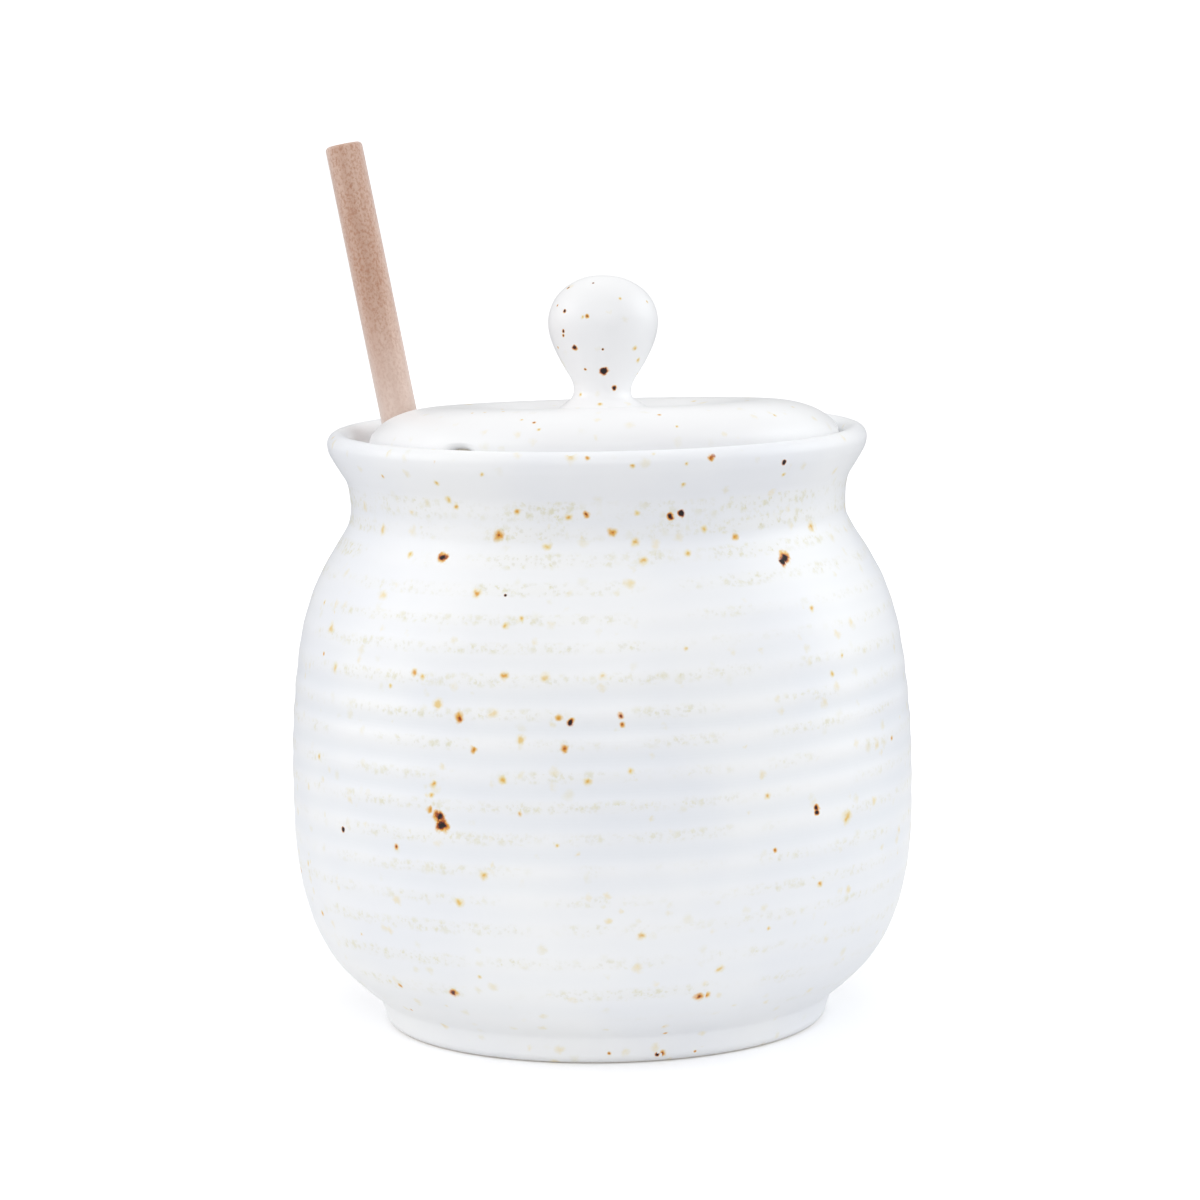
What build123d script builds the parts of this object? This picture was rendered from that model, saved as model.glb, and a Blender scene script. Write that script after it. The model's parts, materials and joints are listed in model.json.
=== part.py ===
from build123d import *

import os
from math import cos, pi, radians, sin, tan

# Stoneware honey pot with a lift-off lid and a wooden dipper. Millimetres, +Z up.
# The origin is the middle of the foot, on the surface that the pot stands on.

# Pot: outside of the thrown wall, from the foot up; the upper points hang from the rim
foot_base_radius = 32.4
foot_round = 1.8
foot_top_radius = 34.9
foot_top_height = 4.3
hip_radius = 43.4
hip_height = 13.5
belly_radius = 47.625
belly_height = 36.0
upper_radius = 46.2
upper_drop = 31.0
shoulder_radius = 42.0
shoulder_drop = 18.5
collar_radius = 38.7
collar_drop = 13.0
neck_radius = 37.8
neck_drop = 9.0
rim_radius = 41.1
rim_height = 89.5
lip_width = 3.2
lip_rise = 1.9

# Pot: throwing rings left by the fingers on the outside
ring_pitch = 4.8
ring_depth = 0.25

# Pot: inside and underside
wall = 4.0
floor_height = 8.0
floor_radius = 29.0
foot_ring_width = 4.5
base_recess = 2.5
neck_wall = 3.9

# Lid: a domed disc with a sunken middle, which sits on a ledge inside the rim
lid_play = 2.1
lid_shift = 1.1
lid_tilt = 3.2
lid_seat_drop = 2.3
lid_band = 3.1
lid_edge_round = 0.9
brow_inset = 4.3
brow_rise = 6.3
crest_inset = 11.0
crest_rise = 7.5
dish_radius = 13.0
dish_depth = 1.4
under_inset = 7.8
under_recess = 2.6
vent_radius = 2.5
vent_reach = 3.0
vent_azimuth = -126.0

# Knob: one fired piece with the lid, a little off its middle and leaning to the right
knob_shift = -0.4
knob_lean = 2.1
knob_head_radius = 8.45
knob_head_height = 19.8
knob_crown = 7.05
knob_cheek_radius = 7.1
knob_cheek_height = 14.9
knob_waist_radius = 4.9
knob_waist_height = 11.0
knob_stem_radius = 4.45
knob_stem_height = 9.3
knob_foot_radius = 7.4
knob_root = 1.4

# Dipper: a plain dowel glued into a turned, grooved head
handle_radius = 2.9
handle_end_round = 0.6
dipper_length = 127.7
dipper_lean = 10.9
dipper_azimuth = 164.2
head_radius = 10.0
head_length = 30.0
head_end_radius = 7.6
head_round = 2.4
groove_count = 6
groove_width = 2.2
groove_pitch = 4.2
core_radius = 5.4
socket_depth = 14.0

# Clearances
seat_clearance = 0.3
glue_gap = 0.05
notch_clearance = 0.9

# Heights and radii that follow from the sizes above
upper_height = rim_height - upper_drop
shoulder_height = rim_height - shoulder_drop
collar_height = rim_height - collar_drop
neck_height = rim_height - neck_drop
mouth_radius = neck_radius - neck_wall
mouth_wall_radius = rim_radius - lip_width
lid_radius = mouth_wall_radius - lid_play
under_radius = lid_radius - under_inset
seat_height = rim_height - lid_seat_drop
foot_inner_radius = foot_base_radius - foot_ring_width
dish_rise = crest_rise - dish_depth
socket_radius = handle_radius + glue_gap
notch_radius = handle_radius + notch_clearance

# The ledge and the lid share one tilt: the lid sits a little lower at the back
tilt = radians(lid_tilt)
tilt_normal = Vector(0, sin(tilt), cos(tilt))
seat_plane = Plane(origin=(0, 0, seat_height), x_dir=(1, 0, 0), z_dir=tilt_normal)
lid_plane = Plane(
    origin=(lid_shift, 0, seat_height + seat_clearance),
    x_dir=(1, 0, 0),
    z_dir=tilt_normal,
)
lid_section = Plane(origin=lid_plane.origin, x_dir=lid_plane.x_dir, z_dir=-lid_plane.y_dir)
knob_direction = lid_plane.x_dir * sin(radians(knob_lean)) + lid_plane.z_dir * cos(radians(knob_lean))
knob_origin = lid_plane.origin + lid_plane.x_dir * knob_shift
knob_section = Plane(
    origin=knob_origin,
    x_dir=lid_plane.y_dir.cross(knob_direction),
    z_dir=-lid_plane.y_dir,
)
knob_axis = Axis(knob_origin, knob_direction)

# The vent points out of the lid's edge
vent_direction = (
    lid_plane.x_dir * cos(radians(vent_azimuth)) + lid_plane.y_dir * sin(radians(vent_azimuth))
)
vent_origin = lid_plane.origin + vent_direction * (lid_radius - vent_reach)

# The dipper stands on the pot's floor and leans out against the ledge's edge
lean = radians(dipper_lean)
outward = Vector(cos(radians(dipper_azimuth)), sin(radians(dipper_azimuth)), 0)
dipper_side = Vector(0, 0, 1).cross(outward)
dipper_direction = outward * sin(lean) + Vector(0, 0, cos(lean))
lean_radius = mouth_radius - seat_clearance - handle_radius / cos(lean)
tip_rise = (head_end_radius - head_round) * sin(lean) + head_round * (1 - cos(lean))
tip_height = floor_height + seat_clearance + tip_rise
tip_radius = lean_radius - (seat_height - tip_height) * tan(lean)
tip_point = outward * tip_radius + Vector(0, 0, tip_height)
dipper_plane = Plane(
    origin=tip_point,
    x_dir=dipper_side.cross(dipper_direction),
    z_dir=dipper_direction,
)
dipper_section = Plane(origin=tip_point, x_dir=dipper_plane.x_dir, z_dir=-dipper_side)


with BuildPart() as pot:
    with BuildLine(mode=Mode.PRIVATE):
        # Smooth outside of the wall, from the foot's crease to the neck
        smooth_wall = Spline(
            (foot_top_radius, foot_top_height),
            (hip_radius, hip_height),
            (belly_radius, belly_height),
            (upper_radius, upper_height),
            (shoulder_radius, shoulder_height),
            (collar_radius, collar_height),
            (neck_radius, neck_height),
            tangents=((1.7, 1), (0, 1)),
            tangent_scalars=(1, 0.5),
        )
    ring_count = round(smooth_wall.length / ring_pitch)
    with BuildSketch(Plane.XZ):
        with BuildLine():
            # Foot ring around a recessed base
            Polyline(
                (0, base_recess),
                (foot_inner_radius - base_recess, base_recess),
                (foot_inner_radius, 0),
                (foot_base_radius, 0),
            )
            foot_edge = TangentArc(
                (foot_base_radius, 0),
                (foot_base_radius + foot_round, foot_round),
                tangent=(1, 0),
            )
            Line(foot_edge @ 1, (foot_top_radius, foot_top_height))
            # Shallow scallops between the crests of the throwing rings
            for ring in range(ring_count):
                SagittaArc(
                    smooth_wall @ (ring / ring_count),
                    smooth_wall @ ((ring + 1) / ring_count),
                    ring_depth,
                )
            # Flared neck and rounded lip
            Spline(
                (neck_radius, neck_height),
                (rim_radius, rim_height),
                tangents=((0, 1), (0, 1)),
            )
            EllipticalCenterArc(
                (rim_radius - lip_width / 2, rim_height),
                lip_width / 2,
                lip_rise,
                start_angle=0,
                arc_size=180,
            )
            Polyline(
                (mouth_wall_radius, rim_height),
                (mouth_radius, rim_height),
                (mouth_radius, neck_height),
            )
            # Inside of the wall, down to the rounded corner of the floor
            Spline(
                (mouth_radius, neck_height),
                (shoulder_radius - wall, shoulder_height - wall / 2),
                (upper_radius - wall, upper_height),
                (belly_radius - wall, belly_height),
                (hip_radius - wall, hip_height + wall),
                (floor_radius, floor_height),
                tangents=((0, -1), (-1, 0)),
                tangent_scalars=(0.5, 1),
            )
            Polyline((floor_radius, floor_height), (0, floor_height), (0, base_recess))
        make_face()
    revolve(axis=Axis.Z)
    # Ledge for the lid, cut square to the lid's tilt but straight up along the pot
    with BuildSketch(seat_plane):
        Ellipse(mouth_wall_radius, mouth_wall_radius / cos(tilt))
    extrude(amount=lip_width + lid_seat_drop + lip_rise, dir=(0, 0, 1), mode=Mode.SUBTRACT)
pot.part.label = "pot"
export_step(pot.part, "parts/pot.step")


with BuildPart() as lid:
    with BuildSketch(lid_section):
        with BuildLine():
            # Shallow hollow underneath, then the flat ring that sits on the ledge
            Polyline(
                (0, under_recess),
                (under_radius - under_recess, under_recess),
                (under_radius, 0),
                (lid_radius - lid_edge_round, 0),
            )
            TangentArc(
                (lid_radius - lid_edge_round, 0),
                (lid_radius, lid_edge_round),
                tangent=(1, 0),
            )
            Line((lid_radius, lid_edge_round), (lid_radius, lid_band - lid_edge_round))
            # Brow up to the crest, then down into the dish around the knob
            Spline(
                (lid_radius, lid_band - lid_edge_round),
                (lid_radius - brow_inset, brow_rise),
                (lid_radius - crest_inset, crest_rise),
                (dish_radius, dish_rise),
                tangents=((0, 1), (-1, 0)),
                tangent_scalars=(0.6, 1),
            )
            Polyline((dish_radius, dish_rise), (0, dish_rise), (0, under_recess))
        make_face()
    revolve(axis=Axis(lid_plane.origin, lid_plane.z_dir))
    # Knob, rooted halfway into the disc
    with BuildSketch(knob_section):
        with BuildLine():
            Polyline(
                (0, knob_head_height + knob_crown),
                (0, dish_rise - knob_root),
                (knob_foot_radius, dish_rise - knob_root),
            )
            Spline(
                (knob_foot_radius, dish_rise - knob_root),
                (knob_stem_radius, knob_stem_height),
                (knob_waist_radius, knob_waist_height),
                (knob_cheek_radius, knob_cheek_height),
                (knob_head_radius, knob_head_height),
                tangents=((-1, 1), (0, 1)),
                tangent_scalars=(1, 0.6),
            )
            Spline(
                (knob_head_radius, knob_head_height),
                (knob_head_radius * cos(pi / 4), knob_head_height + knob_crown * sin(pi / 4)),
                (0, knob_head_height + knob_crown),
                tangents=((0, 1), (-1, 0)),
            )
        make_face()
    revolve(axis=knob_axis)
    # Open notch in the edge, which clears the dipper's handle as the lid is lifted
    with BuildSketch(Plane(origin=outward * lean_radius, x_dir=outward, z_dir=(0, 0, 1))):
        Circle(notch_radius)
        Rectangle(lid_radius, 2 * notch_radius, align=(Align.MIN, Align.CENTER))
    extrude(amount=rim_height + crest_rise, mode=Mode.SUBTRACT)
    # Small half-round vent under the edge
    with BuildSketch(Plane(origin=vent_origin, x_dir=lid_plane.z_dir, z_dir=vent_direction)):
        Circle(vent_radius)
    extrude(amount=2 * vent_reach, mode=Mode.SUBTRACT)
lid.part.label = "lid"
export_step(lid.part, "parts/lid.step")


with BuildPart() as dipper_head:
    with BuildSketch(dipper_section):
        with BuildLine():
            Line((0, 0), (head_end_radius - head_round, 0))
            TangentArc(
                (head_end_radius - head_round, 0),
                (head_end_radius, head_round),
                tangent=(1, 0),
            )
            ThreePointArc(
                (head_end_radius, head_round),
                (head_radius, head_length / 2),
                (head_end_radius, head_length - head_round),
            )
            TangentArc(
                (head_end_radius - head_round, head_length),
                (head_end_radius, head_length - head_round),
                tangent=(1, 0),
            )
            Polyline(
                (head_end_radius - head_round, head_length),
                (socket_radius, head_length),
                (socket_radius, head_length - socket_depth),
                (0, head_length - socket_depth),
                (0, 0),
            )
        make_face()
    revolve(axis=Axis(dipper_plane.origin, dipper_plane.z_dir))
    # Grooves that hold the honey
    with BuildSketch(dipper_section):
        with Locations((core_radius, head_length / 2)):
            with GridLocations(0, groove_pitch, 1, groove_count):
                Rectangle(head_radius, groove_width, align=(Align.MIN, Align.CENTER))
    revolve(axis=Axis(dipper_plane.origin, dipper_plane.z_dir), mode=Mode.SUBTRACT)
dipper_head.part.label = "dipper_head"
export_step(dipper_head.part, "parts/dipper_head.step")


with BuildPart() as dipper_handle:
    with BuildSketch(dipper_plane.offset(head_length - socket_depth)):
        Circle(handle_radius)
    extrude(amount=dipper_length - head_length + socket_depth)
    handle_end = dipper_handle.faces().sort_by(Axis(dipper_plane.origin, dipper_plane.z_dir))[-1]
    fillet(handle_end.edges(), radius=handle_end_round)
dipper_handle.part.label = "dipper_handle"
export_step(dipper_handle.part, "parts/dipper_handle.step")
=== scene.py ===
import json
from math import atan2, cos, hypot, pi, radians, sin, sqrt, tan

import bmesh
import bpy
from mathutils import Matrix, Vector, noise
from mathutils.geometry import interpolate_bezier
from mathutils.kdtree import KDTree


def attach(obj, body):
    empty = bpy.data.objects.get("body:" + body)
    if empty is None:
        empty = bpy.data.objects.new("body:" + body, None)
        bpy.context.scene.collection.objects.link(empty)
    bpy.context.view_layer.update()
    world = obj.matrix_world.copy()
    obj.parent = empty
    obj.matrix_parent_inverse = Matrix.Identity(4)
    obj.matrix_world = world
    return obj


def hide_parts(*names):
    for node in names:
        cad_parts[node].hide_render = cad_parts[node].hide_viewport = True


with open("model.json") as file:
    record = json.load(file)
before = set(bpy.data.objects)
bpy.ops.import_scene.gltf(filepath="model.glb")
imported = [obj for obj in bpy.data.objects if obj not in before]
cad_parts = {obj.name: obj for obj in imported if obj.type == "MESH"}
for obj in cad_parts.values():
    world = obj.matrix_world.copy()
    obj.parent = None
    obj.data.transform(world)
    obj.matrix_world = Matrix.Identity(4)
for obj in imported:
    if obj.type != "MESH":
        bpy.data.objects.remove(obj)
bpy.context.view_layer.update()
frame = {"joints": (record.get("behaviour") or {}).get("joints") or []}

mm = 0.001
mergeGap = 0.001  # vertices nearer than this are one, in millimetres
print("frame loaded")


# Shapes are worked in millimetres: profiles are (radius, height) pairs

def softStep(low, high, value):
    share = min(max((value - low) / (high - low), 0.0), 1.0)
    return share * share * (3 - 2 * share)


def between(rise, fall, value):
    # one in the middle, with a soft rise before it and a soft fall after it
    return softStep(*rise, value) * (1 - softStep(*fall, value))


def valueAt(place, places, values):
    # straight-line lookup in two rising lists
    if place <= places[0]:
        return values[0]
    for index in range(1, len(places)):
        if place <= places[index]:
            share = (place - places[index - 1]) / (places[index] - places[index - 1])
            return values[index - 1] + share * (values[index] - values[index - 1])
    return values[-1]


def noiseAt(x, y, z, scale):
    return noise.noise(Vector((x, y, z)) * scale)


def smoothLine(knots, spacing):
    # a curve through the knots, cut into steps of about the spacing
    knots = [Vector((radius, 0, height)) for radius, height in knots]
    line = [knots[0]]
    for place, (start, end) in enumerate(zip(knots, knots[1:])):
        span = (end - start).length
        before = knots[max(place - 1, 0)]
        after = knots[min(place + 2, len(knots) - 1)]
        leave = start + (end - before).normalized() * span / 3
        arrive = end - (after - start).normalized() * span / 3
        steps = max(2, round(span / spacing))
        line += interpolate_bezier(start, leave, arrive, end, steps + 1)[1:]
    return [(point.x, point.z) for point in line]


def roundTurn(centre, size, fromAngle, toAngle, steps):
    # part of an ellipse, with angles measured from straight outwards
    turn = []
    for step in range(steps + 1):
        angle = radians(fromAngle + (toAngle - fromAngle) * step / steps)
        turn.append((centre[0] + size[0] * cos(angle), centre[1] + size[1] * sin(angle)))
    return turn


def ringPoint(radius, degrees, height):
    return radius * cos(radians(degrees)), radius * sin(radians(degrees)), height


def spinProfile(profile, steps, merge=mergeGap):
    # the profile turned round Z; each vertex keeps its place along it in the layer "row"
    bm = bmesh.new()
    row = bm.verts.layers.float.new("row")
    line = []
    for place, (radius, height) in enumerate(profile):
        vert = bm.verts.new((radius, 0, height))
        vert[row] = place
        line.append(vert)
    edges = [bm.edges.new(pair) for pair in zip(line, line[1:])]
    bmesh.ops.spin(bm, geom=line + edges, cent=(0, 0, 0), axis=(0, 0, 1), dvec=(0, 0, 0),
                   angle=2 * pi, steps=steps, use_merge=True, use_duplicate=False)
    bmesh.ops.remove_doubles(bm, verts=bm.verts, dist=merge)
    return bm


def markSpecks(bm, specks):
    # every face keeps the speck it is nearest to: where that is, its size and its kind
    at = bm.faces.layers.float_vector.new("speckAt")
    size = bm.faces.layers.float.new("speckSize")
    kind = bm.faces.layers.float.new("speckKind")
    tree = KDTree(len(specks))
    for number, speck in enumerate(specks):
        tree.insert(Vector(speck[:3]) * mm, number)
    tree.balance()
    for face in bm.faces:
        nearby = tree.find_n(face.calc_center_median(), 3)
        spot, number, _ = min(nearby, key=lambda found: found[2] / specks[found[1]][3])
        face[at], face[size], face[kind] = spot, specks[number][3] * mm, specks[number][4]


def makeObject(bm, name, material):
    mesh = bpy.data.meshes.new(name)
    bm.to_mesh(mesh)
    bm.free()
    mesh.shade_smooth()
    mesh.materials.append(material)
    thing = bpy.data.objects.new(name, mesh)
    bpy.context.scene.collection.objects.link(thing)
    return thing


def finishPiece(bm, name, material, body, node, place=Matrix.Identity(4), specks=()):
    # to metres and into place, closed and facing out
    bmesh.ops.transform(bm, matrix=Matrix.Scale(mm, 4) @ place, verts=bm.verts)
    bmesh.ops.remove_doubles(bm, verts=bm.verts, dist=mergeGap * mm)
    bmesh.ops.recalc_face_normals(bm, faces=bm.faces)
    if specks:
        markSpecks(bm, specks)
    piece = makeObject(bm, name, material)
    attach(piece, body)
    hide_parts(node)
    print("made", name, "with", len(piece.data.polygons), "faces")
    return piece


# Node helpers: a plain number sets a socket, a socket is joined to it

def feed(tree, socket, value):
    if isinstance(value, bpy.types.NodeSocket):
        tree.links.new(value, socket)
    else:
        socket.default_value = value


def addNode(tree, kind, inputs=None, **settings):
    node = tree.nodes.new(kind)
    for name, value in settings.items():
        setattr(node, name, value)
    for name, value in (inputs or {}).items():
        feed(tree, node.inputs[name], value)
    return node


def sums(tree, operation, *values):
    # one Math node
    node = addNode(tree, "ShaderNodeMath", operation=operation)
    for socket, value in zip(node.inputs, values):
        feed(tree, socket, value)
    return node.outputs[0]


def times(tree, first, second):
    return sums(tree, "MULTIPLY", first, second)


def stretch(tree, value, by, plus):
    return sums(tree, "MULTIPLY_ADD", value, by, plus)


def vectorSums(tree, operation, *values):
    node = addNode(tree, "ShaderNodeVectorMath", operation=operation)
    for socket, value in zip(node.inputs, values):
        feed(tree, socket, value)
    return node.outputs["Value" if operation in ("DISTANCE", "LENGTH") else "Vector"]


def pushOf(tree, noiseColour, amount):
    # a noise's colour as a push to any side
    centred = vectorSums(tree, "SUBTRACT", noiseColour, (0.5, 0.5, 0.5))
    node = addNode(tree, "ShaderNodeVectorMath", operation="SCALE", inputs={"Scale": amount})
    feed(tree, node.inputs[0], centred)
    return node.outputs["Vector"]


def fade(tree, value, low, high, toLow=0.0, toHigh=1.0):
    # smooth step between two limits
    node = addNode(tree, "ShaderNodeMapRange", interpolation_type="SMOOTHSTEP",
                   inputs={"Value": value, "From Min": low, "From Max": high,
                           "To Min": toLow, "To Max": toHigh})
    return node.outputs["Result"]


def blendColour(tree, share, first, second):
    node = addNode(tree, "ShaderNodeMix", data_type="RGBA")
    feed(tree, node.inputs[0], share)
    feed(tree, node.inputs[6], first)
    feed(tree, node.inputs[7], second)
    return node.outputs[2]


def colourRamp(tree, value, stops):
    # colours along a value from 0 to 1
    node = addNode(tree, "ShaderNodeValToRGB", inputs={"Fac": value})
    ramp = node.color_ramp
    while len(ramp.elements) < len(stops):
        ramp.elements.new(0.5)
    for element, (position, shade) in zip(ramp.elements, stops):
        element.position = position
        element.color = shade
    return node.outputs["Color"]


def colour(red, green, blue):
    # a screen colour, 0 to 255, as the linear one that nodes take
    return tuple(((part / 255 + 0.055) / 1.055) ** 2.4 for part in (red, green, blue)) + (1.0,)


def attribute(tree, name, output="Fac"):
    return addNode(tree, "ShaderNodeAttribute", attribute_name=name).outputs[output]


def objectPlace(tree):
    return addNode(tree, "ShaderNodeTexCoord").outputs["Object"]


def noiseOf(tree, place, scale, detail, **others):
    inputs = {"Vector": place, "Scale": scale, "Detail": detail, **others}
    return addNode(tree, "ShaderNodeTexNoise", inputs=inputs).outputs


def newGroup(name, inputs, outputs):
    group = bpy.data.node_groups.new(name, "ShaderNodeTree")
    for socketName, kind, value in inputs:
        socket = group.interface.new_socket(socketName, in_out="INPUT", socket_type="NodeSocket" + kind)
        if value is not None:
            socket.default_value = value
    for socketName, kind in outputs:
        group.interface.new_socket(socketName, in_out="OUTPUT", socket_type="NodeSocket" + kind)
    return group, group.nodes.new("NodeGroupInput").outputs, group.nodes.new("NodeGroupOutput").inputs


def useGroup(tree, group, inputs):
    node = tree.nodes.new("ShaderNodeGroup")
    node.node_tree = group
    for name, value in inputs.items():
        feed(tree, node.inputs[name], value)
    return node.outputs


def newMaterial(name):
    material = bpy.data.materials.new(name)
    material.use_nodes = True
    return material, material.node_tree, material.node_tree.nodes["Principled BSDF"]


# Specks strewn at random: soft ragged dots, each of its own size

strewnDots = {
    "wobble": (2.6, 2.0),  # noise scale and detail, in cells
    "sizes": (0.8, 0.45),  # spread of the sizes, and the least
}


def makeStrewnSpecks():
    group, given, result = newGroup(
        "strewnSpecks",
        [("Place", "Vector", None), ("Cells", "Float", 400.0), ("Size", "Float", 0.3),
         ("Share", "Float", 0.3), ("Ragged", "Float", 0.3), ("Shift", "Vector", None)],
        [("Mask", "Float"), ("Chance", "Float")])
    moved = vectorSums(group, "ADD", given["Place"], given["Shift"])
    scaled = vectorSums(group, "SCALE", moved)
    feed(group, scaled.node.inputs["Scale"], given["Cells"])
    push = pushOf(group, noiseOf(group, scaled, *strewnDots["wobble"])["Color"], given["Ragged"])
    cells = addNode(group, "ShaderNodeTexVoronoi",
                    inputs={"Vector": vectorSums(group, "ADD", scaled, push), "Scale": 1.0}).outputs
    parts = addNode(group, "ShaderNodeSeparateColor", inputs={"Color": cells["Color"]}).outputs
    chosen = sums(group, "LESS_THAN", parts["Red"], given["Share"])
    ownSize = times(group, given["Size"], stretch(group, parts["Green"], *strewnDots["sizes"]))
    dot = fade(group, cells["Distance"], 0.0, ownSize, 1.0, 0.0)
    feed(group, result["Mask"], times(group, dot, chosen))
    feed(group, result["Chance"], parts["Blue"])
    return group


strewnSpecks = makeStrewnSpecks()


# Glaze: white over a speckled clay body, with iron specks and mottled ring crests

glaze = {
    "tones": {
        "white": (247, 248, 249), "potShade": (240, 242, 246), "lidShade": (243, 243, 244),
        # the pool tone is darker than the white: partly glaze pooling, partly painted shade in the grooves
        "pool": (226, 232, 239), "moss": (221, 217, 184), "ash": (227, 226, 217),
        "olive": (216, 209, 152), "straw": (236, 216, 148), "honey": (231, 193, 104),
        "ochre": (224, 158, 62), "rust": (174, 84, 28), "darkRed": (84, 30, 18),
        "core": (26, 15, 15), "clay": (236, 228, 214),
    },
    # noises by scale and detail
    "drift": (38.0, 2.0), "patches": (85.0, 3.0), "rag": (900.0, 3.0), "uneven": (420.0, 1.0),
    "soft": (260.0, 3.0),
    # strewn dots by cells in a metre, size, share of the cells, raggedness and seed
    "froth": (800.0, 0.66, 0.66, 1.0, 4), "grains": (1500.0, 0.7, 0.6, 1.0, 6),
    "freckles": (430.0, 0.42, 0.24, 0.5, 1), "spots": (250.0, 0.26, 0.17, 0.35, 2),
    "seedStep": (0.37, 0.11, 0.23),
    # where a layer fades in, and how much of it shows
    "driftFade": (0.35, 0.68), "poolShadeCover": 0.32, "thinFade": (0.45, 1.1), "patchFade": (0.34, 0.62),
    "frothCover": (0.9, 0.08), "freckleCover": (0.45, 0.15), "spotCover": 0.8,
    "warmCover": 0.75, "warmMask": (0.4, 0.95), "warmChance": (0.3, 0.7),
    # placed specks, and their colours from the middle outwards
    "ragPush": 1.5, "reach": 1.2, "bite": (1.3, -0.62), "edgeStart": (0.25, 0.1), "edgeEnd": 1.1,
    "ironFade": (0.36, 0.55),
    "pale": [(0.0, "ochre"), (0.25, "honey"), (0.65, "straw")],
    "rusty": [(0.06, "darkRed"), (0.18, "rust"), (0.38, "ochre"), (0.75, "honey")],
    "dark": [(0.36, "core"), (0.47, "darkRed"), (0.58, "rust"), (0.72, "ochre"), (0.95, "honey")],
    "ior": 1.5, "roughness": 0.4, "roughDrift": 0.12, "roughIron": 0.35,
    "bump": 0.05, "ringBump": 2.0, "frothBump": -0.25, "softBump": 0.7, "ironDip": 0.6,
}


def makeGlaze(name, shade, shift, mottle, freckled):
    material, tree, shader = newMaterial(name)
    place = objectPlace(tree)
    crest, pooledShade, thin, bare, speckSize, speckKind = [
        attribute(tree, layer) for layer in ("crest", "pooledShade", "thin", "bare", "speckSize", "speckKind")]
    tones = {key: colour(*value) for key, value in glaze["tones"].items()}

    def noiseLayer(layer):
        return noiseOf(tree, place, *glaze[layer])

    def strewn(layer):
        cells, size, share, ragged, seed = glaze[layer]
        return useGroup(tree, strewnSpecks, {
            "Place": place, "Cells": cells, "Size": size, "Share": share, "Ragged": ragged,
            "Shift": [start + seed * step for start, step in zip((shift, 0, 0), glaze["seedStep"])]})

    def speckColours(kind):
        return colourRamp(tree, bitten, [(position, tones[key]) for position, key in glaze[kind]])

    # slow drift between a warmer and a cooler white
    drift = noiseLayer("drift")["Fac"]
    base = blendColour(tree, fade(tree, drift, *glaze["driftFade"]), tones["white"], tones[shade])

    # cooler and darker in the grooves where the glaze pools, partly painted groove shade, and a mossy froth
    # where it runs thin over the crests
    base = blendColour(tree, times(tree, pooledShade, glaze["poolShadeCover"]), base, tones["pool"])
    patches = fade(tree, noiseLayer("patches")["Fac"], *glaze["patchFade"])
    thin = times(tree, fade(tree, thin, *glaze["thinFade"]), patches)
    froth = strewn("froth")["Mask"]
    ash = times(tree, times(tree, thin, strewn("grains")["Mask"]), mottle)
    base = blendColour(tree, ash, base, tones["ash"])
    moss = times(tree, times(tree, thin, stretch(tree, froth, *glaze["frothCover"])), mottle)
    base = blendColour(tree, moss, base, tones["moss"])

    # faint freckles everywhere, then larger ones that deepen towards their middles
    freckles = strewn("freckles")
    faint = stretch(tree, freckles["Chance"], *[share * freckled for share in glaze["freckleCover"]])
    freckleTone = blendColour(tree, freckles["Chance"], tones["olive"], tones["straw"])
    base = blendColour(tree, times(tree, freckles["Mask"], faint), base, freckleTone)
    spots = strewn("spots")
    base = blendColour(tree, times(tree, spots["Mask"], glaze["spotCover"] * freckled), base, tones["straw"])
    warm = times(tree, fade(tree, spots["Mask"], *glaze["warmMask"]),
                 fade(tree, spots["Chance"], *glaze["warmChance"]))
    base = blendColour(tree, times(tree, warm, glaze["warmCover"] * freckled), base, tones["honey"])

    # placed specks, ragged by a noise of about their own size: pale ones, rusty ones and iron ones
    push = pushOf(tree, noiseLayer("rag")["Color"], times(tree, speckSize, glaze["ragPush"]))
    speckAt = attribute(tree, "speckAt", "Vector")
    far = vectorSums(tree, "DISTANCE", vectorSums(tree, "ADD", place, push), speckAt)
    far = sums(tree, "DIVIDE", far, times(tree, speckSize, glaze["reach"]))
    bitten = sums(tree, "ADD", far, stretch(tree, noiseLayer("uneven")["Fac"], *glaze["bite"]))
    isRusty = sums(tree, "GREATER_THAN", speckKind, 0.5)
    isDark = sums(tree, "GREATER_THAN", speckKind, 1.5)
    tone = blendColour(tree, isRusty, speckColours("pale"), speckColours("rusty"))
    tone = blendColour(tree, isDark, tone, speckColours("dark"))
    edge = stretch(tree, speckKind, *glaze["edgeStart"])
    base = blendColour(tree, fade(tree, far, edge, glaze["edgeEnd"], 1.0, 0.0), base, tone)
    iron = times(tree, isDark, fade(tree, bitten, *glaze["ironFade"], 1.0, 0.0))

    # bare clay where the pot stands and where the lid sits
    feed(tree, shader.inputs["Base Color"], blendColour(tree, bare, base, tones["clay"]))

    soft = noiseLayer("soft")["Fac"]
    rough = stretch(tree, soft, glaze["roughDrift"], glaze["roughness"] - glaze["roughDrift"] / 2)
    dry = times(tree, sums(tree, "MAXIMUM", iron, bare), glaze["roughIron"])
    feed(tree, shader.inputs["Roughness"], sums(tree, "ADD", rough, dry))
    shader.inputs["IOR"].default_value = glaze["ior"]
    height = times(tree, soft, glaze["softBump"])
    height = stretch(tree, froth, times(tree, thin, glaze["frothBump"]), height)
    height = sums(tree, "SUBTRACT", height, times(tree, iron, glaze["ironDip"]))
    height = stretch(tree, crest, glaze["ringBump"], height)
    bump = addNode(tree, "ShaderNodeBump",
                   inputs={"Height": height, "Distance": glaze["bump"] * mm, "Strength": 1.0})
    feed(tree, shader.inputs["Normal"], bump.outputs["Normal"])
    return material


# The pot: a thrown wall with a spiral of finger rings, flared lip and a ledge for the lid

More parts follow.
